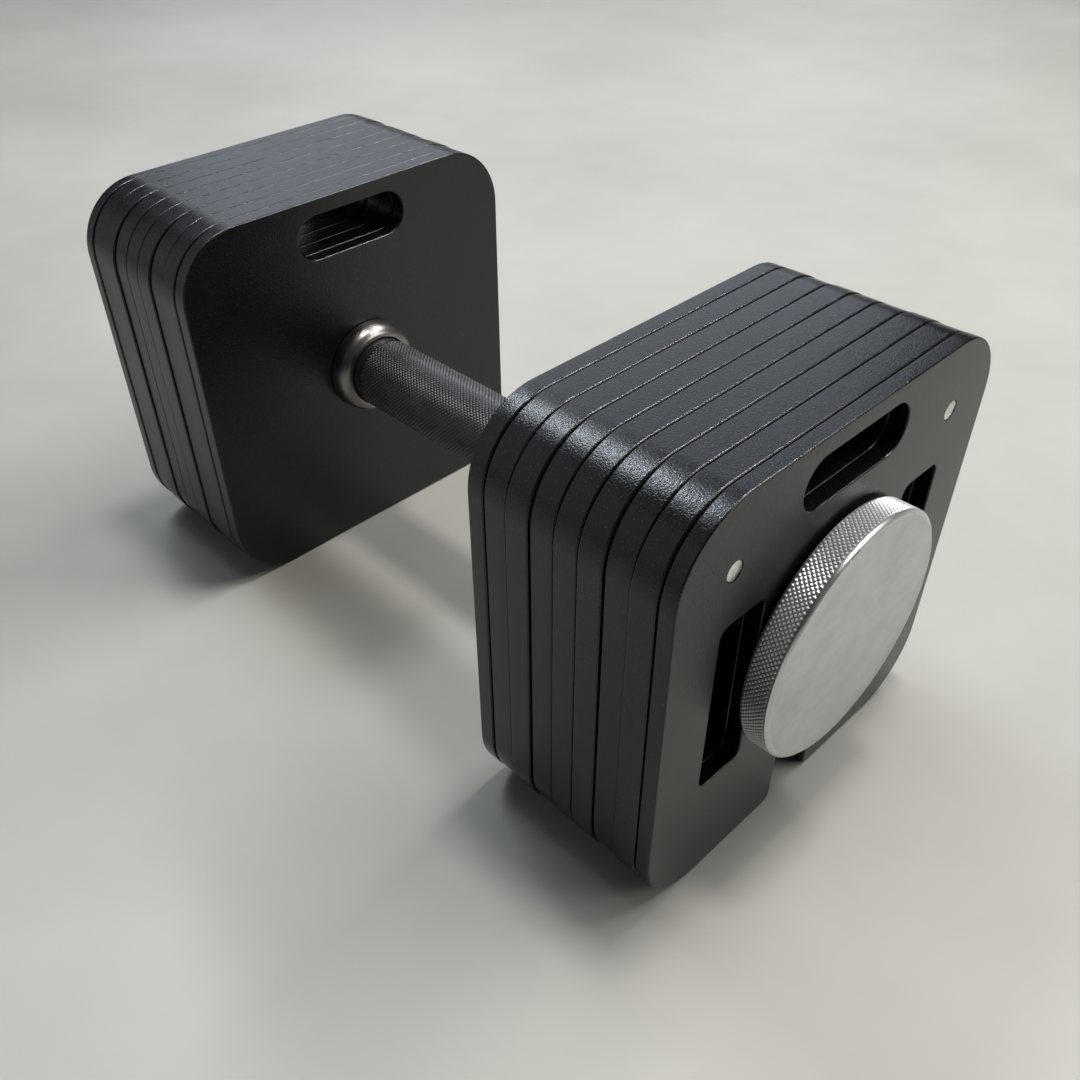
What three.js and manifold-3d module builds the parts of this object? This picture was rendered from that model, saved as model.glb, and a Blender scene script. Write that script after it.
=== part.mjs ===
// Adjustable dumbbell: a knurled handle between two fixed end plates, removable weight
// plates that drop over a locking bolt at each end, and a round knob that clamps them.
//
// Millimetres, +Z up. The handle runs along X, the origin lies on the floor under the
// middle of the handle, and the plates stand on the floor at z = 0.

import * as THREE from 'three';
import { mergeVertices } from 'three/addons/utils/BufferGeometryUtils.js';
import Module from 'manifold-3d';

const wasm = await Module();
wasm.setup();

// ---------------------------------------------------------------- driving dimensions

const CLEARANCE = 0.3; // left between pieces that touch

// plates, seen along the handle
const PLATE_WIDTH = 165;
const PLATE_HEIGHT = 166;
const PLATE_CORNER = 28;
const END_PLATE_THICKNESS = 6.8;
const WEIGHT_PLATE_THICKNESS = 9.4;
const LIGHT_PLATE_THICKNESS = 5.8;
const WEIGHT_PLATES_PER_SIDE = 7;

// finger slot near the top of every plate
const GRIP_SLOT_LENGTH = 54.8;
const GRIP_SLOT_HEIGHT = 18.4;
const GRIP_SLOT_Z = 150;

// upright windows of the removable plates, one on each side of the bolt
const WINDOW_WIDTH = 21.2;
const WINDOW_HEIGHT = 70.5;
const WINDOW_Y = 48.9;
const WINDOW_Z = 83.7;
const WINDOW_CORNER = 3.5;

// open slot that lets a plate drop over the bolt
const BOLT_SLOT_WIDTH = 22;
const BOLT_SLOT_MOUTH = 4;

// holding magnets in the outer face of each removable plate
const MAGNET_RADIUS = 3.5;
const MAGNET_THICKNESS = 2.4;
const MAGNET_RECESS = 0.1;
const MAGNET_Y = 57.4;
const MAGNET_Z = 140.4;

// handle
const AXIS_Z = 84.5;
const HAND_SPACE = 164.4; // between the two end plates
const GRIP_RADIUS = 15.9;
const GRIP_END_RADIUS = 15.4; // smooth band beside each collar
const GRIP_END_LENGTH = 13.7;
const CORE_RADIUS = 12.7;
const CORE_BORE_DEPTH = 44;
const COLLAR_RADIUS = 21;
const COLLAR_LENGTH = 9.2;
const COLLAR_SHOULDER = 2.4; // straight part beside the end plate

// locking screw: knob, bolt and pressure washer
const KNOB_RADIUS = 46.5;
const KNOB_THICKNESS = 11;
const KNOB_REAR_CHAMFER = 0.6;
const KNOB_BEVEL_WIDTH = 1.8; // across the front face
const KNOB_BEVEL_DEPTH = 1.1;
const BOLT_RADIUS = 9.5;
const BOLT_LENGTH = 120;
const BOLT_CHAMFER = 1.5;
const BOLT_SOCKET_DEPTH = 7;
const WASHER_RADIUS = 24;
const WASHER_THICKNESS = 0.8;

// facets
const CORNER_STEPS = 5;
const SLOT_QUARTER_STEPS = 4;
const SMALL_CORNER_STEPS = 2;
const MAGNET_SIDES = 12;
const BOLT_SIDES = 24;
const HANDLE_SIDES = 32;
const KNOB_SIDES = 48;

// ---------------------------------------------------------------- worked-out sizes

const HALF_HAND_SPACE = HAND_SPACE / 2;
const END_PLATE_OUTER = HALF_HAND_SPACE + END_PLATE_THICKNESS;
const PLATE_PITCH = WEIGHT_PLATE_THICKNESS + CLEARANCE;
const FIRST_PLATE_INNER = END_PLATE_OUTER + CLEARANCE;
const LIGHT_PLATE_INNER = FIRST_PLATE_INNER + WEIGHT_PLATES_PER_SIDE * PLATE_PITCH;
const STACK_OUTER = LIGHT_PLATE_INNER + LIGHT_PLATE_THICKNESS;
const WASHER_INNER = STACK_OUTER + CLEARANCE;
const KNOB_INNER = WASHER_INNER + WASHER_THICKNESS + CLEARANCE;
const BOLT_OUTER = KNOB_INNER + BOLT_SOCKET_DEPTH - CLEARANCE;
const BOLT_INNER = BOLT_OUTER - BOLT_LENGTH;
const CORE_BORE_BOTTOM = END_PLATE_OUTER - CORE_BORE_DEPTH;

// ---------------------------------------------------------------- materials

const plateBlack = new THREE.MeshStandardMaterial({ color: 0x1c1c1e, roughness: 0.55, metalness: 0.3 });
const gripBlack = new THREE.MeshStandardMaterial({ color: 0x202224, roughness: 0.5, metalness: 0.4 });
const satinSteel = new THREE.MeshStandardMaterial({ color: 0xb9bcbd, roughness: 0.35, metalness: 1 });
const boltSteel = new THREE.MeshStandardMaterial({ color: 0x8d9092, roughness: 0.4, metalness: 1 });
const coreSteel = new THREE.MeshStandardMaterial({ color: 0x6f7274, roughness: 0.5, metalness: 1 });
const magnetNickel = new THREE.MeshStandardMaterial({ color: 0xc9cac8, roughness: 0.25, metalness: 1 });

// ---------------------------------------------------------------- geometry helpers

// Points of an arc in the plane across the handle: x is world Y, y is world Z.
function arc(centreY, centreZ, radius, fromDegrees, toDegrees, steps) {
  const points = [];
  for (let i = 0; i <= steps; i += 1) {
    const angle = THREE.MathUtils.degToRad(fromDegrees + ((toDegrees - fromDegrees) * i) / steps);
    points.push(new THREE.Vector2(centreY + radius * Math.cos(angle), centreZ + radius * Math.sin(angle)));
  }
  return points;
}

function roundedRectangle(centreY, centreZ, width, height, radius, steps) {
  const y = width / 2 - radius;
  const z = height / 2 - radius;
  return [
    ...arc(centreY + y, centreZ - z, radius, -90, 0, steps),
    ...arc(centreY + y, centreZ + z, radius, 0, 90, steps),
    ...arc(centreY - y, centreZ + z, radius, 90, 180, steps),
    ...arc(centreY - y, centreZ - z, radius, 180, 270, steps),
  ];
}

// An outline across the handle, made solid from x = 0 to x = thickness.
function slab(outline, holes, thickness) {
  const shape = new THREE.Shape(outline);
  shape.holes = holes.map((hole) => new THREE.Path(hole));
  const geometry = new THREE.ExtrudeGeometry(shape, { depth: thickness, bevelEnabled: false });
  const axes = new THREE.Matrix4().makeBasis(
    new THREE.Vector3(0, 1, 0),
    new THREE.Vector3(0, 0, 1),
    new THREE.Vector3(1, 0, 0),
  );
  return geometry.applyMatrix4(axes);
}

// A turned piece: the profile is a list of [radius, x], turned about the X axis.
function turned(profile, sides) {
  const points = profile.map(([radius, x]) => new THREE.Vector2(radius, x));
  const geometry = new THREE.LatheGeometry(points, sides);
  geometry.rotateZ(-Math.PI / 2);
  return geometry;
}

function toSolid(geometry) {
  const bare = geometry.clone();
  bare.deleteAttribute('normal');
  bare.deleteAttribute('uv');
  const merged = mergeVertices(bare, 1e-4);
  return new wasm.Manifold(new wasm.Mesh({
    numProp: 3,
    vertProperties: new Float32Array(merged.attributes.position.array),
    triVerts: new Uint32Array(merged.index.array),
  }));
}

function toGeometry(solid) {
  const mesh = solid.getMesh();
  const geometry = new THREE.BufferGeometry();
  geometry.setAttribute('position', new THREE.BufferAttribute(mesh.vertProperties, 3));
  geometry.setIndex(new THREE.BufferAttribute(mesh.triVerts, 1));
  geometry.computeVertexNormals();
  return geometry;
}

function piece(name, geometry, material, x = 0, y = 0, z = 0) {
  const mesh = new THREE.Mesh(geometry, material);
  mesh.name = name;
  mesh.position.set(x, y, z);
  return mesh;
}

// ---------------------------------------------------------------- plates

const gripSlot = roundedRectangle(
  0, GRIP_SLOT_Z, GRIP_SLOT_LENGTH, GRIP_SLOT_HEIGHT, GRIP_SLOT_HEIGHT / 2, SLOT_QUARTER_STEPS,
);

function plateWindow(side) {
  return roundedRectangle(
    side * WINDOW_Y, WINDOW_Z, WINDOW_WIDTH, WINDOW_HEIGHT, WINDOW_CORNER, SMALL_CORNER_STEPS,
  );
}

// Rounded outline of a removable plate, open at the bottom where the bolt enters.
function slottedOutline() {
  const half = BOLT_SLOT_WIDTH / 2;
  const mouthY = half + BOLT_SLOT_MOUTH;
  const cornerY = PLATE_WIDTH / 2 - PLATE_CORNER;
  const cornerZ = PLATE_HEIGHT - PLATE_CORNER;
  return [
    ...arc(mouthY, BOLT_SLOT_MOUTH, BOLT_SLOT_MOUTH, 180, 270, SMALL_CORNER_STEPS),
    ...arc(cornerY, PLATE_CORNER, PLATE_CORNER, -90, 0, CORNER_STEPS),
    ...arc(cornerY, cornerZ, PLATE_CORNER, 0, 90, CORNER_STEPS),
    ...arc(-cornerY, cornerZ, PLATE_CORNER, 90, 180, CORNER_STEPS),
    ...arc(-cornerY, PLATE_CORNER, PLATE_CORNER, 180, 270, CORNER_STEPS),
    ...arc(-mouthY, BOLT_SLOT_MOUTH, BOLT_SLOT_MOUTH, 270, 360, SMALL_CORNER_STEPS),
    ...arc(0, AXIS_Z, half, 180, 0, 2 * SLOT_QUARTER_STEPS),
  ];
}

function endPlate() {
  const outline = roundedRectangle(
    0, PLATE_HEIGHT / 2, PLATE_WIDTH, PLATE_HEIGHT, PLATE_CORNER, CORNER_STEPS,
  );
  const coreHole = arc(0, AXIS_Z, CORE_RADIUS + CLEARANCE, 0, 360, HANDLE_SIDES).slice(1);
  return slab(outline, [gripSlot, coreHole], END_PLATE_THICKNESS);
}

// A removable plate has blind pockets for its two magnets in its outer face.
function removablePlate(thickness) {
  const depth = MAGNET_THICKNESS + MAGNET_RECESS + CLEARANCE;
  const pocket = new THREE.CylinderGeometry(
    MAGNET_RADIUS + CLEARANCE, MAGNET_RADIUS + CLEARANCE, 2 * depth, MAGNET_SIDES,
  ).rotateZ(-Math.PI / 2);
  let solid = toSolid(slab(slottedOutline(), [gripSlot, plateWindow(-1), plateWindow(1)], thickness));
  for (const side of [-1, 1]) {
    const cutter = toSolid(pocket.clone().translate(thickness, side * MAGNET_Y, MAGNET_Z));
    solid = solid.subtract(cutter);
  }
  return toGeometry(solid);
}

function magnet() {
  return turned([
    [0, 0],
    [MAGNET_RADIUS, 0],
    [MAGNET_RADIUS, MAGNET_THICKNESS],
    [0, MAGNET_THICKNESS],
  ], MAGNET_SIDES);
}

// ---------------------------------------------------------------- handle

function gripTube() {
  const bore = CORE_RADIUS + CLEARANCE;
  const end = HALF_HAND_SPACE - CLEARANCE;
  const shoulder = HALF_HAND_SPACE - GRIP_END_LENGTH;
  return turned([
    [bore, -end],
    [GRIP_END_RADIUS, -end],
    [GRIP_END_RADIUS, -shoulder],
    [GRIP_RADIUS, -shoulder + 0.5],
    [GRIP_RADIUS, shoulder - 0.5],
    [GRIP_END_RADIUS, shoulder],
    [GRIP_END_RADIUS, end],
    [bore, end],
    [bore, -end],
  ], HANDLE_SIDES);
}

// Solid in the middle, with a threaded bore for the locking bolt at each end.
function coreBar() {
  const bore = BOLT_RADIUS + CLEARANCE;
  return turned([
    [0, -CORE_BORE_BOTTOM],
    [bore, -CORE_BORE_BOTTOM],
    [bore, -END_PLATE_OUTER],
    [CORE_RADIUS, -END_PLATE_OUTER],
    [CORE_RADIUS, END_PLATE_OUTER],
    [bore, END_PLATE_OUTER],
    [bore, CORE_BORE_BOTTOM],
    [0, CORE_BORE_BOTTOM],
  ], HANDLE_SIDES);
}

// Bell-shaped ring that closes the joint between the grip and the end plate.
function collar() {
  const bore = GRIP_END_RADIUS + CLEARANCE;
  const lip = bore + 0.5;
  const domeSteps = 6;
  const dome = [];
  for (let i = 0; i <= domeSteps; i += 1) {
    const angle = (Math.PI / 2) * (i / domeSteps);
    const radius = lip + (COLLAR_RADIUS - lip) * Math.cos(angle);
    const x = COLLAR_SHOULDER + (COLLAR_LENGTH - COLLAR_SHOULDER) * Math.sin(angle);
    dome.push([radius, -x]);
  }
  return turned([
    [bore, -COLLAR_LENGTH],
    ...dome.reverse(),
    [COLLAR_RADIUS, 0],
    [bore, 0],
    [bore, -COLLAR_LENGTH],
  ], HANDLE_SIDES);
}

// ---------------------------------------------------------------- locking screw

function knob() {
  const socket = BOLT_RADIUS + CLEARANCE;
  return turned([
    [0, BOLT_SOCKET_DEPTH],
    [socket, BOLT_SOCKET_DEPTH],
    [socket, 0],
    [KNOB_RADIUS - KNOB_REAR_CHAMFER, 0],
    [KNOB_RADIUS, KNOB_REAR_CHAMFER],
    [KNOB_RADIUS, KNOB_THICKNESS - KNOB_BEVEL_DEPTH],
    [KNOB_RADIUS - KNOB_BEVEL_WIDTH, KNOB_THICKNESS],
    [0, KNOB_THICKNESS],
  ], KNOB_SIDES);
}

function bolt() {
  return turned([
    [0, 0],
    [BOLT_RADIUS - BOLT_CHAMFER, 0],
    [BOLT_RADIUS, BOLT_CHAMFER],
    [BOLT_RADIUS, BOLT_LENGTH],
    [0, BOLT_LENGTH],
  ], BOLT_SIDES);
}

function washer() {
  const bore = BOLT_RADIUS + 2 * CLEARANCE;
  return turned([
    [bore, 0],
    [WASHER_RADIUS, 0],
    [WASHER_RADIUS, WASHER_THICKNESS],
    [bore, WASHER_THICKNESS],
    [bore, 0],
  ], HANDLE_SIDES);
}

// ---------------------------------------------------------------- assembly

const dumbbell = new THREE.Group();
dumbbell.add(piece('grip_tube', gripTube(), gripBlack, 0, 0, AXIS_Z));
dumbbell.add(piece('core_bar', coreBar(), coreSteel, 0, 0, AXIS_Z));

const weightPlateGeometry = removablePlate(WEIGHT_PLATE_THICKNESS);
const lightPlateGeometry = removablePlate(LIGHT_PLATE_THICKNESS);

// The magnets of one plate, named by the side of the dumbbell that each is on.
function addMagnets(end, endName, number, plateOuter, frontSide) {
  const x = plateOuter - MAGNET_RECESS - MAGNET_THICKNESS;
  const front = piece(`${endName}_magnet_front_${number}`, magnet(), magnetNickel);
  const back = piece(`${endName}_magnet_back_${number}`, magnet(), magnetNickel);
  front.position.set(x, frontSide * MAGNET_Y, MAGNET_Z);
  back.position.set(x, -frontSide * MAGNET_Y, MAGNET_Z);
  end.add(front, back);
}

// One end of the dumbbell, built along +X. The left end is the same, turned half round.
function makeEnd(endName, frontSide) {
  const end = new THREE.Group();
  end.add(piece(`${endName}_end_plate`, endPlate(), plateBlack, HALF_HAND_SPACE));
  end.add(piece(`${endName}_collar`, collar(), satinSteel, HALF_HAND_SPACE - CLEARANCE, 0, AXIS_Z));
  for (let i = 0; i < WEIGHT_PLATES_PER_SIDE; i += 1) {
    const number = i + 1;
    const x = FIRST_PLATE_INNER + i * PLATE_PITCH;
    end.add(piece(`${endName}_weight_plate_${number}`, weightPlateGeometry, plateBlack, x));
    addMagnets(end, endName, number, x + WEIGHT_PLATE_THICKNESS, frontSide);
  }
  end.add(piece(`${endName}_light_plate`, lightPlateGeometry, plateBlack, LIGHT_PLATE_INNER));
  addMagnets(end, endName, WEIGHT_PLATES_PER_SIDE + 1, STACK_OUTER, frontSide);
  end.add(piece(`${endName}_pressure_washer`, washer(), satinSteel, WASHER_INNER, 0, AXIS_Z));
  end.add(piece(`${endName}_knob`, knob(), satinSteel, KNOB_INNER, 0, AXIS_Z));
  end.add(piece(`${endName}_bolt`, bolt(), boltSteel, BOLT_INNER, 0, AXIS_Z));
  return end;
}

const rightEnd = makeEnd('right', -1);
const leftEnd = makeEnd('left', 1);
leftEnd.rotation.z = Math.PI;
dumbbell.add(rightEnd, leftEnd);

export default dumbbell;
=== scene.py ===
from math import cos, pi, radians, sin

import bmesh
import bpy
from mathutils import Matrix, Vector


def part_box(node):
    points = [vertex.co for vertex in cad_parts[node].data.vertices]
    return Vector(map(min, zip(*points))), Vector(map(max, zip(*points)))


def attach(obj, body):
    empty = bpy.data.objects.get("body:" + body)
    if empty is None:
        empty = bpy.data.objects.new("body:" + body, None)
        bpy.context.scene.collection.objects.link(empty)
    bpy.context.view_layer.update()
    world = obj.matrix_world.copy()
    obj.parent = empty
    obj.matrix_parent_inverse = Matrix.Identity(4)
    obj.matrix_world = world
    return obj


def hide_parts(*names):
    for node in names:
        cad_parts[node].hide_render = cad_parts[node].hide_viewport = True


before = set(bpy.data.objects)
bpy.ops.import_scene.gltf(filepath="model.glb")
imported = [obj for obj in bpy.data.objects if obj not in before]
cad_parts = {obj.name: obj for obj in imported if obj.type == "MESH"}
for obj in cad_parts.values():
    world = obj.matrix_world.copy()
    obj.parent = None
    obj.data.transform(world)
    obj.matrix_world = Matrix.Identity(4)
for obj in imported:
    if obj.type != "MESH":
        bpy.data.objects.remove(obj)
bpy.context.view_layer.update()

# Adjustable dumbbell. Metres, +Z up, the handle along X, the plates on the floor at z = 0.

MM = 0.001
TOUCHING = 0.001 * MM  # points closer than this are one point
ENDS = {"right": 1, "left": -1}
WEIGHT_PLATES = 7

# ------------------------------------------------------------------ sizes taken from the frame

right_end_low, right_end_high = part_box("right_end_plate")
first_low, first_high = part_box("right_weight_plate_1")
second_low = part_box("right_weight_plate_2")[0]
light_low, light_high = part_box("right_light_plate")
knob_low, knob_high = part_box("right_knob")
bolt_low, bolt_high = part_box("right_bolt")
washer_low, washer_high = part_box("right_pressure_washer")
collar_low, collar_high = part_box("right_collar")
grip_low, grip_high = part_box("grip_tube")
core_low, core_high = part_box("core_bar")
magnet_low, magnet_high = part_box("right_magnet_front_1")

AXIS_Z = (knob_low.z + knob_high.z) / 2
PLATE_WIDTH = first_high.y - first_low.y
PLATE_HEIGHT = first_high.z
PLATE_PITCH = second_low.x - first_low.x

# ------------------------------------------------------------------ sizes of the plates' shape

PLATE_CORNER = 28 * MM
CORNER_STEPS = 20
ARRIS = 0.65 * MM
ARRIS_STEPS = 3

GRIP_SLOT = (54.8 * MM, 18.4 * MM)
GRIP_SLOT_Z = 150 * MM
WINDOW = (21.2 * MM, 70.5 * MM)
WINDOW_Y = 48.9 * MM
WINDOW_Z = 83.7 * MM
WINDOW_CORNER = 3.5 * MM
BOLT_SLOT_WIDTH = 22 * MM
BOLT_SLOT_MOUTH = 4 * MM
CORE_HOLE = 12.95 * MM  # radius of the holes that the core bar runs through
ROUND_END = 0.998 / 2  # the radius of a slot's round end, in slot widths: a hair under half
OVERSHOOT = 5 * MM  # how far a cutter stands out of the plate that it cuts
PLATE_STRAY = 0.42 * MM  # the most that a plate lies out of line
PLATE_LEAN = radians(0.11)

MAGNET_POCKET = 3.62 * MM  # the pocket's radius
MAGNET_POCKET_DEPTH = 2.7 * MM
MAGNET_RADIUS = (magnet_high.z - magnet_low.z) / 2
MAGNET_Z = (magnet_high.z + magnet_low.z) / 2
MAGNET_Y = -(magnet_high.y + magnet_low.y) / 2

# ------------------------------------------------------------------ camera

CAMERA_PLACE = (280.7 * MM, -247.4 * MM, 326.0 * MM)
CAMERA_AZIMUTH = 46.83
CAMERA_TILT = 39.89
CAMERA_ROLL = -1.19
CAMERA_LENS = 35.16
CAMERA_SHIFT = (0.0187, 0.0196)


def place_camera():
    data = bpy.data.cameras.new("studio_camera")
    data.sensor_width = 36
    data.lens = CAMERA_LENS
    data.shift_x, data.shift_y = CAMERA_SHIFT
    data.clip_start = 0.01
    camera = bpy.data.objects.new("studio_camera", data)
    bpy.context.scene.collection.objects.link(camera)
    turn = Matrix.Rotation(radians(CAMERA_AZIMUTH), 4, "Z")
    tip = Matrix.Rotation(radians(90 - CAMERA_TILT), 4, "X")
    roll = Matrix.Rotation(radians(CAMERA_ROLL), 4, "Z")
    camera.matrix_world = Matrix.Translation(CAMERA_PLACE) @ turn @ tip @ roll
    bpy.context.scene.camera = camera


# ------------------------------------------------------------------ materials

COAT_BLACK = (0.007, 0.0074, 0.0084)
COAT_DUSTY = (0.0105, 0.0108, 0.0118)
COAT_SPECK = (0.1, 0.1, 0.105)
# The paler patches on the plates' rounded edges: partly rubbed coat, partly a painted highlight.
COAT_RUBBED_AND_HIGHLIGHT = (0.13, 0.131, 0.136)


class Finish:
    """A new material with its main shader, and short ways to add and join nodes."""

    def __init__(self, name, colour, metallic, roughness):
        self.material = bpy.data.materials.new(name)
        self.material.use_nodes = True
        self.nodes = self.material.node_tree.nodes
        self.links = self.material.node_tree.links
        self.shader = self.nodes["Principled BSDF"]
        self.shader.inputs["Base Color"].default_value = (*colour, 1)
        self.shader.inputs["Metallic"].default_value = metallic
        self.shader.inputs["Roughness"].default_value = roughness
        self.place = self.nodes.new("ShaderNodeTexCoord").outputs["Object"]

    def add(self, kind, **inputs):
        """A new node with some of its inputs set; an underscore in a name is a space."""
        node = self.nodes.new(kind)
        for key, value in inputs.items():
            node.inputs[key.replace("_", " ")].default_value = value
        return node

    def join(self, output, target):
        self.links.new(output, target)

    def noise(self, scale, detail=2.0, roughness=0.5, stretch=None):
        node = self.add("ShaderNodeTexNoise", Scale=scale, Detail=detail, Roughness=roughness)
        source = self.place
        if stretch is not None:
            mapping = self.add("ShaderNodeMapping", Scale=stretch)
            self.join(self.place, mapping.inputs["Vector"])
            source = mapping.outputs["Vector"]
        self.join(source, node.inputs["Vector"])
        return node.outputs["Fac"]

    def spread(self, value, low, high, to_low, to_high):
        """Maps low..high of a value to to_low..to_high, and holds it there outside."""
        node = self.nodes.new("ShaderNodeMapRange")
        node.inputs["From Min"].default_value = low
        node.inputs["From Max"].default_value = high
        node.inputs["To Min"].default_value = to_low
        node.inputs["To Max"].default_value = to_high
        self.join(value, node.inputs["Value"])
        return node.outputs["Result"]

    def math(self, operation, first, second):
        node = self.nodes.new("ShaderNodeMath")
        node.operation = operation
        for socket, value in zip(node.inputs, (first, second)):
            if isinstance(value, (int, float)):
                socket.default_value = value
            else:
                self.join(value, socket)
        return node.outputs["Value"]

    def blend(self, amount, first, second):
        node = self.nodes.new("ShaderNodeMix")
        node.data_type = "RGBA"
        self.join(amount, node.inputs["Factor"])
        for socket, colour in zip((node.inputs[6], node.inputs[7]), (first, second)):
            if isinstance(colour, tuple):
                socket.default_value = (*colour, 1)
            else:
                self.join(colour, socket)
        return node.outputs[2]

    def colour(self, output):
        self.join(output, self.shader.inputs["Base Color"])

    def roughness(self, output):
        self.join(output, self.shader.inputs["Roughness"])

    def bump(self, height, distance, strength):
        node = self.add("ShaderNodeBump", Strength=strength, Distance=distance)
        self.join(height, node.inputs["Height"])
        self.join(node.outputs["Normal"], self.shader.inputs["Normal"])

    def radius_from_axis(self):
        """Distance from the handle's axis, in metres."""
        parts = self.nodes.new("ShaderNodeSeparateXYZ")
        self.join(self.place, parts.inputs["Vector"])
        up = self.math("SUBTRACT", parts.outputs["Z"], AXIS_Z)
        across = self.math("MULTIPLY", parts.outputs["Y"], parts.outputs["Y"])
        square = self.math("ADD", self.math("MULTIPLY", up, up), across)
        return self.math("SQRT", square, 0)


def powder_coat():
    """Black textured powder coat: a fine glossy grain over orange peel, with pale specks."""
    finish = Finish("black_powder_coat", COAT_BLACK, 0.0, 0.18)
    finish.shader.inputs["Specular IOR Level"].default_value = 0.62
    grain = finish.math("MULTIPLY", finish.noise(1900, 2.0, 0.5), 0.78)
    peel = finish.math("MULTIPLY", finish.noise(560, 2.0, 0.5), 0.22)
    cloud = finish.noise(34, 4.0, 0.6)
    finish.bump(finish.math("ADD", grain, peel), 0.14 * MM, 1.0)
    dusty = finish.blend(finish.spread(cloud, 0.3, 0.75, 0, 1), COAT_BLACK, COAT_DUSTY)
    specks = finish.spread(finish.noise(2300, 1.0, 0.4), 0.7, 0.75, 0, 1)
    finish.colour(finish.blend(specks, dusty, COAT_SPECK))
    finish.roughness(finish.spread(cloud, 0.3, 0.7, 0.14, 0.21))
    return finish.material


def coat_arris():
    """The rounded edge of a plate, where the coat is thin and rubbed smoother; its paler patches are
    partly rubbed coat and partly a painted highlight.
    """
    finish = Finish("black_coat_arris", COAT_DUSTY, 0.0, 0.2)
    finish.shader.inputs["IOR"].default_value = 2.7
    peel = finish.noise(1500, 3.0, 0.55)
    rub = finish.noise(300, 4.0, 0.6)
    finish.bump(peel, 0.12 * MM, 0.9)
    # Paler patches along the edge: partly rubbed coat, partly a painted highlight that brightens the edge
    # lines.
    paler_mask = finish.spread(rub, 0.5, 0.72, 0, 1)
    finish.colour(finish.blend(paler_mask, COAT_DUSTY, COAT_RUBBED_AND_HIGHLIGHT))
    finish.roughness(finish.spread(rub, 0.35, 0.6, 0.4, 0.12))
    return finish.material


def grip_coat(valley, tip):
    """Black coated knurl, rubbed towards bare metal on its points."""
    finish = Finish("black_grip_coat", (0.022, 0.023, 0.025), 0.0, 0.44)
    finish.shader.inputs["Specular IOR Level"].default_value = 1.0
    height = finish.spread(finish.radius_from_axis(), valley, tip, 0, 1)
    rub = finish.spread(finish.noise(120, 4.0, 0.6), 0.35, 0.7, 0.25, 1)
    paler_mask = finish.math("MULTIPLY", finish.math("POWER", height, 1.6), rub)
    finish.colour(finish.blend(paler_mask, (0.016, 0.0172, 0.0195), (0.2, 0.207, 0.22)))
    finish.roughness(finish.spread(finish.noise(900, 2.0), 0.3, 0.7, 0.36, 0.47))
    finish.bump(finish.noise(3000, 2.0), 0.03 * MM, 0.6)
    return finish.material


def turned_steel(name, colour, low_roughness, high_roughness, line_scale):
    """Bare steel with fine turning lines round the axis and cloudy handling marks."""
    finish = Finish(name, colour, 1.0, (low_roughness + high_roughness) / 2)
    lines = finish.noise(line_scale, 2.0, 0.5, stretch=(1.0, 0.04, 0.04))
    cloud = finish.noise(60, 4.0, 0.6)
    darker = tuple(0.82 * channel for channel in colour)
    finish.colour(finish.blend(finish.spread(cloud, 0.3, 0.7, 0, 1), darker, colour))
    finish.roughness(finish.spread(cloud, 0.3, 0.7, low_roughness, high_roughness))
    finish.bump(lines, 0.02 * MM, 0.5)
    return finish.material


def knurl_steel(valley, tip):
    """Bright knurled stainless steel, darker down in the cuts."""
    finish = Finish("knurled_stainless", (0.85, 0.85, 0.85), 0.42, 0.3)
    height = finish.spread(finish.radius_from_axis(), valley, tip, 0, 1)
    finish.colour(finish.blend(height, (0.36, 0.36, 0.37), (1.0, 1.0, 1.0)))
    finish.roughness(finish.spread(finish.noise(700, 3.0), 0.3, 0.7, 0.26, 0.36))
    finish.bump(finish.noise(5000, 2.0), 0.02 * MM, 0.4)
    return finish.material


def satin_steel_face():
    """The knob's flat face: fine satin grain with cloudy, wiped patches."""
    finish = Finish("satin_stainless_face", (0.66, 0.67, 0.67), 1.0, 0.34)
    cloud = finish.math("MULTIPLY", finish.noise(48, 7.0, 0.66), 0.65)
    wipe = finish.math("MULTIPLY", finish.noise(240, 4.0, 0.6, stretch=(1.0, 0.35, 1.0)), 0.35)
    mixed = finish.math("ADD", cloud, wipe)
    wiped = finish.spread(mixed, 0.38, 0.62, 0, 1)
    finish.colour(finish.blend(wiped, (0.5, 0.513, 0.522), (0.615, 0.627, 0.635)))
    finish.roughness(finish.spread(mixed, 0.35, 0.65, 0.29, 0.38))
    finish.bump(finish.noise(6000, 2.0, 0.5), 0.012 * MM, 0.7)
    return finish.material


def nickel():
    """Bright nickel plate of the magnets, a little clouded."""
    finish = Finish("nickel_plate", (0.72, 0.7, 0.66), 1.0, 0.2)
    cloud = finish.noise(420, 3.0, 0.6)
    bright = finish.spread(cloud, 0.3, 0.7, 0, 1)
    finish.colour(finish.blend(bright, (0.6, 0.585, 0.55), (0.78, 0.765, 0.73)))
    finish.roughness(finish.spread(cloud, 0.3, 0.7, 0.16, 0.32))
    finish.bump(finish.noise(3500, 2.0), 0.01 * MM, 0.5)
    return finish.material


# ------------------------------------------------------------------ modelling helpers


def deselect():
    bpy.ops.object.select_all(action="DESELECT")


def take(piece):
    deselect()
    piece.select_set(True)
    bpy.context.view_layer.objects.active = piece


def edit(piece, mode):
    take(piece)
    bpy.ops.object.mode_set(mode="EDIT")
    bpy.ops.mesh.select_mode(type=mode)


def stop_editing():
    bpy.ops.object.mode_set(mode="OBJECT")


def select_only(elements, test):
    for element in elements:
        element.select_set(False)
    for element in elements:
        if test(element):
            element.select_set(True)


def select_faces(piece, test):
    select_only(bmesh.from_edit_mesh(piece.data).faces, test)
    bmesh.update_edit_mesh(piece.data)


def select_edges(piece, test):
    select_only(bmesh.from_edit_mesh(piece.data).edges, test)
    bmesh.update_edit_mesh(piece.data)


def runs_along_x(edge):
    first, second = (vertex.co for vertex in edge.verts)
    return abs(first.x - second.x) > 10 * max(abs(first.y - second.y), abs(first.z - second.z))


def apply_place(piece):
    take(piece)
    bpy.ops.object.transform_apply(location=True, rotation=True, scale=True)


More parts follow.
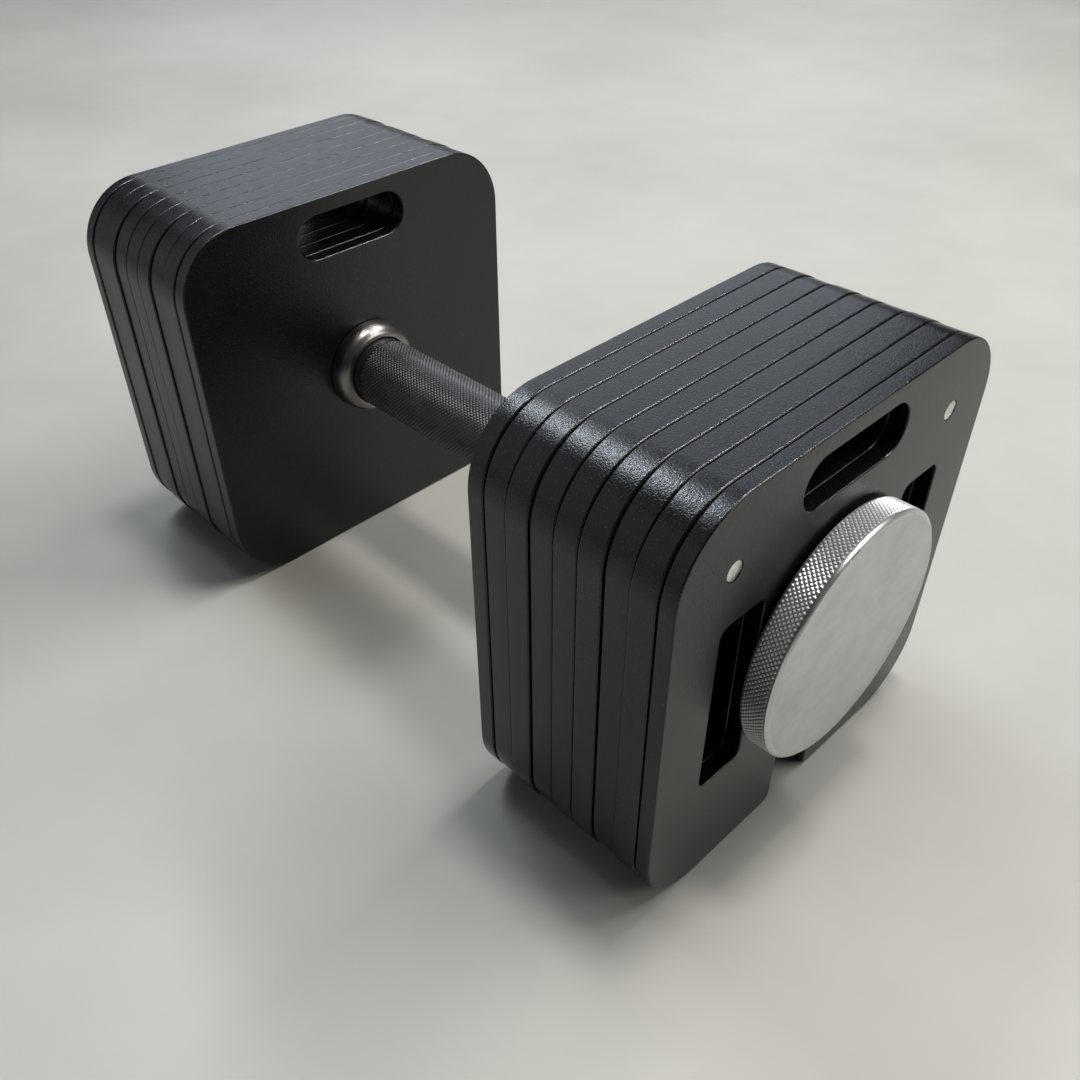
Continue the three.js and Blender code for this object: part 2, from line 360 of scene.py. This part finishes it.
def apply_modifier(piece, kind, **settings):
    """Adds a modifier of that kind with its settings, and applies it."""
    take(piece)
    modifier = piece.modifiers.new(kind.lower(), kind)
    for key, value in settings.items():
        setattr(modifier, key, value)
    bpy.ops.object.modifier_apply(modifier=modifier.name)


def smooth(piece, degrees):
    take(piece)
    bpy.ops.object.shade_smooth_by_angle(angle=radians(degrees))


def rounded_block(name, x_range, centre, size, radius, steps):
    """A block whose four long edges, which run along X, are rounded."""
    deselect()
    middle = (sum(x_range) / 2, *centre)
    length = x_range[1] - x_range[0]
    bpy.ops.mesh.primitive_cube_add(size=1, location=middle, scale=(length, *size))
    block = bpy.context.object
    block.name = name
    apply_place(block)
    edit(block, "EDGE")
    select_edges(block, runs_along_x)
    bpy.ops.mesh.bevel(offset=radius, offset_type="OFFSET", segments=steps, profile=0.5, affect="EDGES")
    stop_editing()
    return block


def round_bar(name, x_range, centre, radius, sides):
    deselect()
    middle = (sum(x_range) / 2, *centre)
    length = x_range[1] - x_range[0]
    bpy.ops.mesh.primitive_cylinder_add(
        vertices=sides, radius=radius, depth=length, location=middle, rotation=(0, pi / 2, 0)
    )
    bar = bpy.context.object
    bar.name = name
    apply_place(bar)
    return bar


def cut(piece, cutter):
    apply_modifier(piece, "BOOLEAN", operation="DIFFERENCE", solver="EXACT", object=cutter)
    bpy.data.objects.remove(cutter)


def turned(name, rings, sides, closed=False):
    """A piece turned about the handle's axis, from rings given as (radius, x).

    A closed piece is a ring whose last step meets its first; any other gets flat ends."""
    deselect()
    radius, x = rings[0]
    bpy.ops.mesh.primitive_circle_add(
        vertices=sides, radius=radius, location=(x, 0, AXIS_Z), rotation=(0, pi / 2, 0)
    )
    piece = bpy.context.object
    piece.name = name
    apply_place(piece)
    edit(piece, "EDGE")
    bpy.ops.mesh.select_all(action="SELECT")
    for next_radius, next_x in rings[1:]:
        bpy.ops.mesh.extrude_region_move(TRANSFORM_OT_translate={"value": (next_x - x, 0, 0)})
        if next_radius != radius:
            scale = next_radius / radius
            bpy.ops.transform.resize(value=(1, scale, scale), center_override=(next_x, 0, AXIS_Z))
        radius, x = next_radius, next_x
    bpy.ops.mesh.select_all(action="SELECT")
    if closed:
        bpy.ops.mesh.remove_doubles(threshold=TOUCHING)
    else:
        bpy.ops.mesh.fill_holes(sides=0)
    bpy.ops.mesh.select_all(action="SELECT")
    bpy.ops.mesh.normals_make_consistent(inside=False)
    stop_editing()
    return piece


def knurl(piece, x_range, radius, depth):
    """Raises diamond points on the plain band of that radius."""

    def on_band(face):
        middle = face.calc_center_median()
        inside = x_range[0] < middle.x < x_range[1]
        return inside and abs(Vector((middle.y, middle.z - AXIS_Z)).length - radius) < 0.02 * radius

    def grid_edge(edge):
        first, second = (vertex.co for vertex in edge.verts)
        straight = abs(first.x - second.x) < TOUCHING or (first - second).yz.length < TOUCHING
        return straight and all(on_band(face) for face in edge.link_faces)

    edit(piece, "FACE")
    select_faces(piece, on_band)
    bpy.ops.mesh.poke()
    bpy.ops.mesh.select_mode(type="EDGE")
    select_edges(piece, grid_edge)
    bpy.ops.mesh.dissolve_edges(use_verts=False, use_face_split=False)
    bpy.ops.mesh.select_mode(type="FACE")
    select_faces(piece, lambda face: on_band(face) and len(face.verts) == 4)
    bpy.ops.mesh.poke(offset=depth, use_relative_offset=False)
    stop_editing()


def paint(piece, *materials):
    piece.data.materials.clear()
    for material in materials:
        piece.data.materials.append(material)


def half_turned(piece):
    """Carries a piece of the right end to the left end."""
    piece.data.transform(Matrix.Rotation(pi, 4, "Z"))


def copy_of(piece, name):
    twin = piece.copy()
    twin.data = piece.data.copy()
    twin.name = name
    bpy.context.scene.collection.objects.link(twin)
    return twin


def settle(piece, body, node):
    """Gives a finished piece its body, and hides the CAD node that it stands for."""
    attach(piece, body)
    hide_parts(node)


# ------------------------------------------------------------------ plates


def past_both_sides(x_range):
    return (x_range[0] - OVERSHOOT, x_range[1] + OVERSHOOT)


def plate_blank(name, x_range):
    """A plate's rounded outline with the finger slot."""
    outline = (PLATE_WIDTH, PLATE_HEIGHT)
    plate = rounded_block(name, x_range, (0, PLATE_HEIGHT / 2), outline, PLATE_CORNER, CORNER_STEPS)
    through = past_both_sides(x_range)
    slot_radius = ROUND_END * GRIP_SLOT[1]
    cut(plate, rounded_block("cutter", through, (0, GRIP_SLOT_Z), GRIP_SLOT, slot_radius, 16))
    return plate


def depth_in_plate(point):
    """How far a point lies inside the plate's rounded outline, across the plate."""
    side = abs(point.y) - (PLATE_WIDTH / 2 - PLATE_CORNER)
    rise = abs(point.z - PLATE_HEIGHT / 2) - (PLATE_HEIGHT / 2 - PLATE_CORNER)
    past_corner = Vector((max(side, 0), max(rise, 0))).length
    return PLATE_CORNER - past_corner - min(max(side, rise), 0)


def soften_edges(plate):
    """Rounds every edge; only the outline's edges, not the openings', are rubbed, and only they carry the
    arris's paler patches, which are partly rubbed coat and partly a painted highlight.
    """
    apply_modifier(
        plate, "BEVEL", width=ARRIS, segments=ARRIS_STEPS, limit_method="ANGLE",
        angle_limit=radians(40), use_clamp_overlap=False, material=1,
    )
    for face in plate.data.polygons:
        if depth_in_plate(face.center) > 2 * ARRIS:
            face.material_index = 0


def even_normals(plate):
    smooth(plate, 40)
    apply_modifier(plate, "WEIGHTED_NORMAL", mode="FACE_AREA", weight=50, keep_sharp=True)


def end_plate(name):
    """The fixed plate beside the grip, with a hole for the core bar."""
    x_range = (right_end_low.x, right_end_high.x)
    plate = plate_blank(name, x_range)
    cut(plate, round_bar("cutter", past_both_sides(x_range), (0, AXIS_Z), CORE_HOLE, 64))
    soften_edges(plate)
    even_normals(plate)
    return plate


def removable_plate(name, x_range):
    """A plate with two windows, an open slot for the bolt and pockets for its magnets."""
    plate = plate_blank(name, x_range)
    through = past_both_sides(x_range)
    for side in (-1, 1):
        middle = (side * WINDOW_Y, WINDOW_Z)
        cut(plate, rounded_block("cutter", through, middle, WINDOW, WINDOW_CORNER, 5))
    below = 20 * MM
    slot_top = AXIS_Z + BOLT_SLOT_WIDTH / 2
    slot_size = (BOLT_SLOT_WIDTH, slot_top + below)
    slot_middle = (0, (slot_top - below) / 2)
    slot_radius = ROUND_END * BOLT_SLOT_WIDTH
    cut(plate, rounded_block("cutter", through, slot_middle, slot_size, slot_radius, 14))

    def mouth_edge(edge):
        middle = (edge.verts[0].co + edge.verts[1].co) / 2
        return runs_along_x(edge) and middle.z < 0.1 * MM and abs(middle.y) < 0.6 * BOLT_SLOT_WIDTH

    edit(plate, "EDGE")
    select_edges(plate, mouth_edge)
    bpy.ops.mesh.bevel(
        offset=BOLT_SLOT_MOUTH, offset_type="OFFSET", segments=6, profile=0.5, affect="EDGES"
    )
    stop_editing()
    soften_edges(plate)
    for side in (-1, 1):
        pocket = (x_range[1] - MAGNET_POCKET_DEPTH, x_range[1] + OVERSHOOT)
        cut(plate, round_bar("cutter", pocket, (side * MAGNET_Y, MAGNET_Z), MAGNET_POCKET, 40))
    even_normals(plate)
    return plate


def lie_of_plate(number):
    """How a plate sits out of line with its neighbours: across, leaning, and up to clear the floor."""
    across = PLATE_STRAY * sin(2.4 * number)
    lean = PLATE_LEAN * sin(3.1 * number)
    half_foot = PLATE_WIDTH / 2 - PLATE_CORNER
    up = half_foot * abs(lean)
    return Matrix.Translation((0, across, up)) @ Matrix.Rotation(lean, 4, "X")


def make_plates(coat, arris):
    master_end = end_plate("right_end_plate_coated")
    paint(master_end, coat, arris)
    master_weight = removable_plate("weight_plate_pattern", (first_low.x, first_high.x))
    paint(master_weight, coat, arris)
    master_light = removable_plate("light_plate_pattern", (light_low.x, light_high.x))
    paint(master_light, coat, arris)
    for end, side in ENDS.items():
        for number in range(1, WEIGHT_PLATES + 1):
            node = f"{end}_weight_plate_{number}"
            plate = copy_of(master_weight, f"{node}_coated")
            shift = Matrix.Translation(((number - 1) * PLATE_PITCH, 0, 0))
            plate.data.transform(shift @ lie_of_plate(number))
            if side < 0:
                half_turned(plate)
            settle(plate, node, node)
        node = f"{end}_light_plate"
        plate = copy_of(master_light, f"{node}_coated")
        if side < 0:
            half_turned(plate)
        settle(plate, node, node)
    left_end = copy_of(master_end, "left_end_plate_coated")
    half_turned(left_end)
    settle(master_end, "handle", "right_end_plate")
    settle(left_end, "handle", "left_end_plate")
    bpy.data.objects.remove(master_weight)
    bpy.data.objects.remove(master_light)


# ------------------------------------------------------------------ magnets


def make_magnets(metal):
    edge = 0.25 * MM
    rings = [
        (MAGNET_RADIUS - edge, magnet_low.x),
        (MAGNET_RADIUS, magnet_low.x + edge),
        (MAGNET_RADIUS, magnet_high.x - edge),
        (MAGNET_RADIUS - 0.3 * edge, magnet_high.x - 0.3 * edge),
        (MAGNET_RADIUS - edge, magnet_high.x),
        (0.3 * MAGNET_RADIUS, magnet_high.x),
    ]
    master = turned("magnet_pattern", rings, 40)
    smooth(master, 50)
    paint(master, metal)
    bodies = [f"weight_plate_{number}" for number in range(1, WEIGHT_PLATES + 1)] + ["light_plate"]
    for end in ENDS:
        for number, plate in enumerate(bodies, start=1):
            for place in ("front", "back"):
                node = f"{end}_magnet_{place}_{number}"
                low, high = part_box(node)
                disc = copy_of(master, f"{node}_plated")
                if end == "left":
                    half_turned(disc)
                start = min(vertex.co.x for vertex in disc.data.vertices)
                move = Vector((low.x - start, (low.y + high.y) / 2, (low.z + high.z) / 2 - AXIS_Z))
                disc.data.transform(Matrix.Translation(move))
                settle(disc, f"{end}_{plate}", node)
    bpy.data.objects.remove(master)


# ------------------------------------------------------------------ handle

GRIP_BAND = 68.4 * MM  # half length of the knurled band
GRIP_TIP = (grip_high.z - grip_low.z) / 2
GRIP_KNURL_DEPTH = 0.34 * MM
GRIP_COLUMNS = 52
GRIP_ROWS = 72


def steps_between(start, end, count):
    return [start + (end - start) * i / count for i in range(count + 1)]


def make_grip(coat):
    base = GRIP_TIP - GRIP_KNURL_DEPTH
    plain = 15.4 * MM
    end = grip_high.x
    half = [
        (CORE_HOLE, end),
        (plain - 0.3 * MM, end),
        (plain, end - 0.3 * MM),
        (plain, GRIP_BAND + 0.35 * MM),
    ]
    band = [(base, x) for x in steps_between(GRIP_BAND, -GRIP_BAND, GRIP_ROWS)]
    rings = half + band + [(radius, -x) for radius, x in reversed(half)] + [half[0]]
    grip = turned("grip_coated", rings, GRIP_COLUMNS, closed=True)
    knurl(grip, (-GRIP_BAND, GRIP_BAND), base, GRIP_KNURL_DEPTH)
    smooth(grip, 12)
    paint(grip, coat)
    settle(grip, "handle", "grip_tube")


def make_core(steel):
    bore = 9.8 * MM
    wall = (core_high.z - core_low.z) / 2
    bottom = 45 * MM
    end = core_high.x
    half = [
        (bore, bottom),
        (bore, end - 0.8 * MM),
        (bore + 0.6 * MM, end),
        (wall - 0.5 * MM, end),
        (wall, end - 0.5 * MM),
    ]
    rings = half + [(radius, -x) for radius, x in reversed(half)]
    core = turned("core_bar_turned", rings, 64)
    smooth(core, 30)
    paint(core, steel)
    settle(core, "handle", "core_bar")


COLLAR_SHOULDER = 2.4 * MM  # straight part beside the end plate


def make_collars(steel):
    bore = 15.75 * MM
    outer = (collar_high.z - collar_low.z) / 2
    plate_side = collar_high.x
    length = collar_high.x - collar_low.x
    lip = bore + 0.35 * MM
    rings = [(bore, plate_side), (outer - 0.3 * MM, plate_side), (outer, plate_side - 0.3 * MM)]
    bell_steps = 16
    for i in range(bell_steps + 1):
        angle = (pi / 2) * i / bell_steps
        radius = lip + (outer - lip) * cos(angle)
        depth = COLLAR_SHOULDER + (length - COLLAR_SHOULDER) * sin(angle)
        rings.append((radius, plate_side - depth))
    rings += [(bore, plate_side - length + 0.3 * MM), (bore, plate_side)]
    master = turned("right_collar_turned", rings, 96, closed=True)
    smooth(master, 35)
    paint(master, steel)
    twin = copy_of(master, "left_collar_turned")
    half_turned(twin)
    settle(master, "handle", "right_collar")
    settle(twin, "handle", "left_collar")


# ------------------------------------------------------------------ locking screws

KNOB_RADIUS = (knob_high.z - knob_low.z) / 2
KNOB_KNURL_DEPTH = 0.5 * MM
KNOB_COLUMNS = 158
KNOB_ROWS = 5
KNOB_BAND_BACK = 0.35 * MM  # the knurled band's distance from the back of the knob
KNOB_BAND_FRONT = 1.4 * MM  # and from its front face
KNOB_BEVEL = (1.8 * MM, 1.1 * MM)  # across the face, and along the axis
BOLT_RADIUS = (bolt_high.z - bolt_low.z) / 2
THREAD_PITCH = 4 * MM
THREAD_DEPTH = 1.2 * MM
THREAD_SUNK = 0.2 * MM  # how far the ridge's foot reaches into the rod
THREAD_FOOT = 0.82 * THREAD_PITCH
THREAD_CREST = 0.36  # width of the crest over width of the foot


def knob_rings():
    """The knob's section, from the bolt's socket round the rim to the front face."""
    back = knob_low.x
    front = knob_high.x
    base = KNOB_RADIUS - KNOB_KNURL_DEPTH
    socket = BOLT_RADIUS + 0.25 * MM
    bevel_width, bevel_depth = KNOB_BEVEL
    band = [(base, x) for x in steps_between(back + KNOB_BAND_BACK, front - KNOB_BAND_FRONT, KNOB_ROWS)]
    return [
        (socket, back + 6.9 * MM),
        (socket, back + 0.4 * MM),
        (socket + 0.4 * MM, back),
        (base - 0.5 * MM, back),
        (base - 0.15 * MM, back + 0.15 * MM),
        *band,
        (base - 0.2 * MM, front - 1.36 * MM),
        (base - 0.2 * MM, front - 1.24 * MM),
        (KNOB_RADIUS - 0.14 * MM, front - bevel_depth - 0.05 * MM),
        (KNOB_RADIUS - 0.25 * MM, front - bevel_depth + 0.1 * MM),
        (KNOB_RADIUS - bevel_width + 0.2 * MM, front - 0.1 * MM),
        (KNOB_RADIUS - bevel_width - 0.05 * MM, front),
        (KNOB_RADIUS - 14 * MM, front),
    ]


def make_knobs(rim, polish, face_finish):
    band_start = knob_low.x + KNOB_BAND_BACK - 0.02 * MM
    band_end = knob_high.x - KNOB_BAND_FRONT + 0.02 * MM
    base = KNOB_RADIUS - KNOB_KNURL_DEPTH
    master = turned("right_knob_machined", knob_rings(), KNOB_COLUMNS)
    knurl(master, (band_start, band_end), base, KNOB_KNURL_DEPTH)
    paint(master, rim, polish, face_finish)
    for face in master.data.polygons:
        if face.center.x > knob_high.x - 0.01 * MM:
            face.material_index = 2
        elif not band_start < face.center.x < band_end:
            face.material_index = 1
    smooth(master, 24)
    twin = copy_of(master, "left_knob_machined")
    half_turned(twin)
    settle(master, "right_locking_screw", "right_knob")
    settle(twin, "left_locking_screw", "left_knob")


def thread_ridge(start, turns, root):
    """A trapezoid tooth carried round the bolt in a right-hand helix."""
    deselect()
    height = THREAD_DEPTH + THREAD_SUNK
    middle = (0, 0, root + height / 2 - THREAD_SUNK)
    bpy.ops.mesh.primitive_plane_add(size=1, location=middle, rotation=(pi / 2, 0, 0))
    ridge = bpy.context.object
    ridge.scale = (THREAD_FOOT, height, 1)
    apply_place(ridge)
    edit(ridge, "EDGE")
    select_edges(ridge, lambda edge: all(vertex.co.z > root + 0.5 * height for vertex in edge.verts))
    bpy.ops.transform.resize(value=(THREAD_CREST, 1, 1))
    stop_editing()
    apply_modifier(
        ridge, "SCREW", axis="X", angle=2 * pi, screw_offset=THREAD_PITCH, iterations=turns,
        steps=40, render_steps=40, use_merge_vertices=False,
    )
    edit(ridge, "EDGE")
    bpy.ops.mesh.select_all(action="SELECT")
    bpy.ops.mesh.remove_doubles(threshold=TOUCHING)
    bpy.ops.mesh.fill_holes(sides=0)
    bpy.ops.mesh.select_all(action="SELECT")
    bpy.ops.mesh.normals_make_consistent(inside=False)
    stop_editing()
    ridge.data.transform(Matrix.Translation((start, 0, AXIS_Z)))
    return ridge


def make_bolts(steel):
    root = BOLT_RADIUS - THREAD_DEPTH
    tip = bolt_low.x
    head = bolt_high.x
    rings = [
        (root - 1.5 * MM, tip),
        (root, tip + 1.5 * MM),
        (root, head - 9 * MM),
        (BOLT_RADIUS, head - 8.2 * MM),
        (BOLT_RADIUS, head),
    ]
    rod = turned("right_bolt_threaded", rings, 64)
    turns = int((head - tip - 14 * MM) / THREAD_PITCH)
    ridge = thread_ridge(tip + 3.2 * MM, turns, root)
    take(rod)
    ridge.select_set(True)
    bpy.ops.object.join()
    smooth(rod, 30)
    paint(rod, steel)
    twin = copy_of(rod, "left_bolt_threaded")
    half_turned(twin)
    settle(rod, "right_locking_screw", "right_bolt")
    settle(twin, "left_locking_screw", "left_bolt")


def make_washers(steel):
    outer = (washer_high.z - washer_low.z) / 2
    bore = 10.1 * MM
    edge = 0.15 * MM
    rings = [
        (bore, washer_low.x),
        (outer - edge, washer_low.x),
        (outer, washer_low.x + edge),
        (outer, washer_high.x - edge),
        (outer - edge, washer_high.x),
        (bore, washer_high.x),
        (bore, washer_low.x),
    ]
    master = turned("right_pressure_washer_turned", rings, 96, closed=True)
    smooth(master, 30)
    paint(master, steel)
    twin = copy_of(master, "left_pressure_washer_turned")
    half_turned(twin)
    settle(master, "right_pressure_washer", "right_pressure_washer")
    settle(twin, "left_pressure_washer", "left_pressure_washer")


# ------------------------------------------------------------------ studio


def floor_finish():
    finish = Finish("pale_floor", (0.43, 0.415, 0.375), 0.0, 0.5)
    cloud = finish.noise(3.2, 6.0, 0.6)
    mottled = finish.spread(cloud, 0.3, 0.7, 0, 1)
    finish.colour(finish.blend(mottled, (0.385, 0.372, 0.336), (0.47, 0.455, 0.415)))
    return finish.material


def area_light(name, place, aim, size, power, colour):
    data = bpy.data.lights.new(name, "AREA")
    data.shape = "RECTANGLE"
    data.size, data.size_y = size
    data.energy = power
    data.color = colour
    lamp = bpy.data.objects.new(name, data)
    bpy.context.scene.collection.objects.link(lamp)
    direction = Vector(aim) - Vector(place)
    lamp.matrix_world = Matrix.Translation(place) @ direction.to_track_quat("-Z", "Y").to_matrix().to_4x4()


def make_studio():
    deselect()
    bpy.ops.mesh.primitive_plane_add(size=8, location=(0, 0, -0.0002))
    floor = bpy.context.object
    floor.name = "studio_floor"
    paint(floor, floor_finish())
    middle = (0, 0, 0.08)
    # The plates' tops mirror back_left_window, and their near upper corners mirror high_left.
    area_light("overhead", (0.08, 0.3, 2.4), middle, (0.3, 0.3), 22, (1.0, 0.98, 0.94))
    area_light("back_right_strip", (0.45, 1.15, 1.7), middle, (1.3, 0.2), 29, (0.98, 0.985, 1.0))
    area_light("right_window", (1.9, 1.2, 1.15), middle, (1.0, 1.0), 20, (1.0, 0.98, 0.95))
    area_light("high_left", (-0.92, 0.08, 1.7), middle, (0.5, 0.24), 9, (0.84, 0.91, 1.0))
    area_light("left_ceiling", (-1.1, 0.25, 1.95), middle, (1.6, 1.8), 10, (0.82, 0.9, 1.0))
    area_light("back_left_window", (-1.8, 1.8, 1.4), middle, (2.4, 1.8), 17, (0.82, 0.9, 1.0))
    area_light("front_left_wall", (-1.3, -1.6, 1.1), middle, (2.6, 2.2), 8, (0.84, 0.91, 1.0))
    world = bpy.data.worlds.new("studio_world")
    bpy.context.scene.world = world
    world.use_nodes = True
    background = world.node_tree.nodes["Background"]
    background.inputs["Color"].default_value = (0.66, 0.68, 0.7, 1)
    background.inputs["Strength"].default_value = 0.1
    view = bpy.context.scene.view_settings
    view.view_transform = "Standard"
    view.gamma = 0.86


# ------------------------------------------------------------------ the whole dumbbell

place_camera()
make_studio()

make_plates(powder_coat(), coat_arris())
make_magnets(nickel())
make_grip(grip_coat(GRIP_TIP - GRIP_KNURL_DEPTH, GRIP_TIP))
make_core(turned_steel("core_steel", (0.42, 0.42, 0.43), 0.3, 0.45, 2500))
make_collars(turned_steel("collar_steel", (0.33, 0.305, 0.29), 0.28, 0.4, 3000))
make_knobs(
    knurl_steel(KNOB_RADIUS - KNOB_KNURL_DEPTH, KNOB_RADIUS),
    turned_steel("polished_rim", (0.72, 0.72, 0.715), 0.22, 0.34, 4000),
    satin_steel_face(),
)
make_bolts(turned_steel("bolt_steel", (0.52, 0.52, 0.53), 0.2, 0.34, 3500))
make_washers(turned_steel("washer_steel", (0.55, 0.55, 0.55), 0.25, 0.4, 3500))
